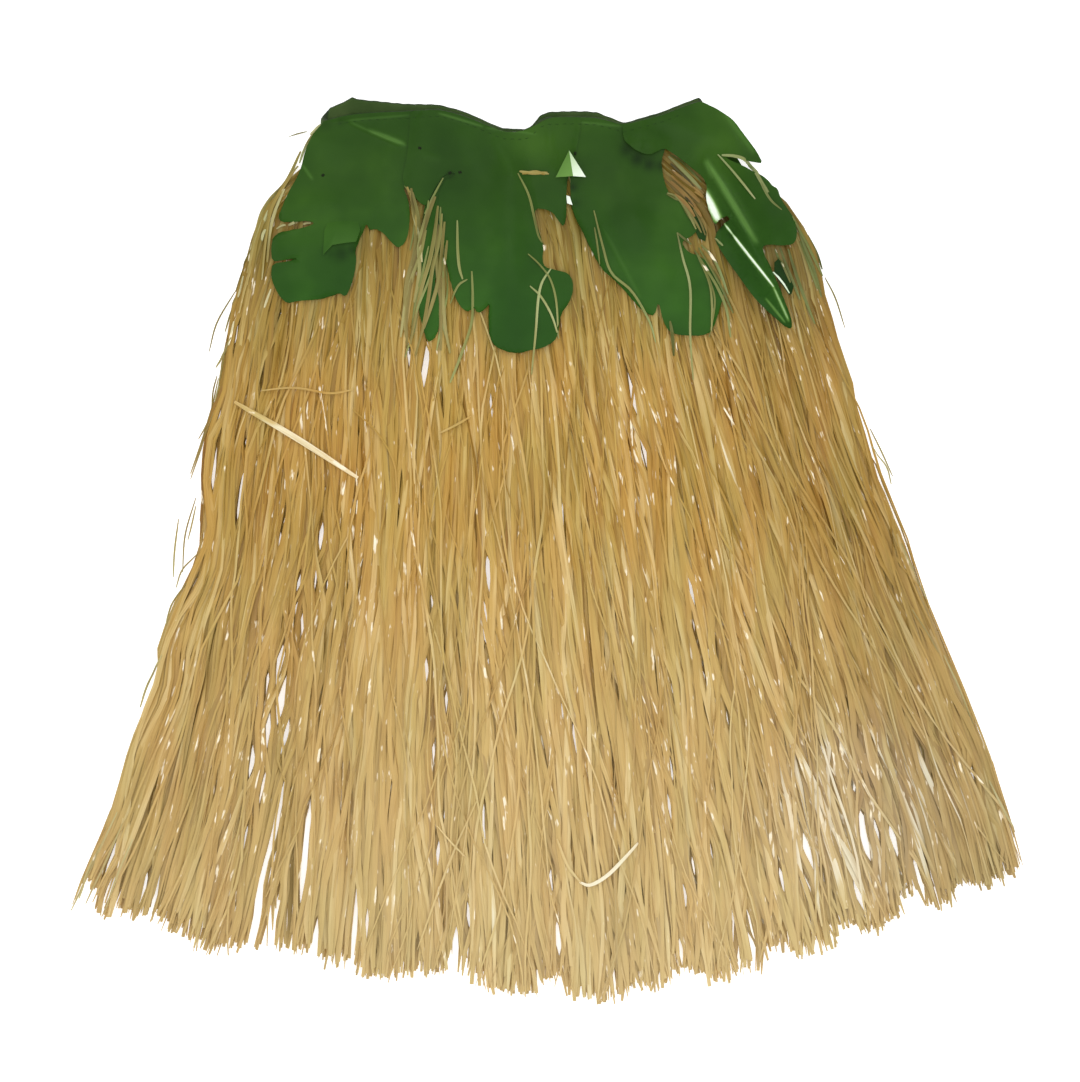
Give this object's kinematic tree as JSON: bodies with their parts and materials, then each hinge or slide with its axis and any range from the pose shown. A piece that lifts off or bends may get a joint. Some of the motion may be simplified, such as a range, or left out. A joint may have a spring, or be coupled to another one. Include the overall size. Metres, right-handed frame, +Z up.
{
  "type": "grass skirt",
  "caption": "Raffia grass skirt on a narrow gathered waistband with cut-out cloth leaves sewn round the waist, lying flat on its back.",
  "frame": {"origin": "on the floor under the middle of the bounding box of the flat skirt", "axes": "+X across the skirt from its left side to its right as seen from above, +Y from the hem to the waist, +Z up out of the front panel"},
  "size_m": [0.7046, 0.6792, 0.0276],
  "materials": {
    "waistband_tape": "dark green woven binding tape, matt",
    "raffia": "dry natural raffia strands, tan to straw, slight sheen",
    "leaf_cloth": "smooth coated leaf-green cloth, satin with sharp highlights on folds"
  },
  "bodies": {
    "root": {"waistband": "waistband_tape", "fringe_back_lower": "raffia", "fringe_back_upper": "raffia", "fringe_front_lower": "raffia", "fringe_front_upper": "raffia", "leaf_front_left": "leaf_cloth", "leaf_front_centre": "leaf_cloth", "leaf_front_slanting": "leaf_cloth", "leaf_front_right": "leaf_cloth", "leaf_front_narrow": "leaf_cloth", "leaf_back_left": "leaf_cloth", "leaf_back_centre": "leaf_cloth", "leaf_back_slanting": "leaf_cloth", "leaf_back_right": "leaf_cloth"}
  },
  "joints": []
}
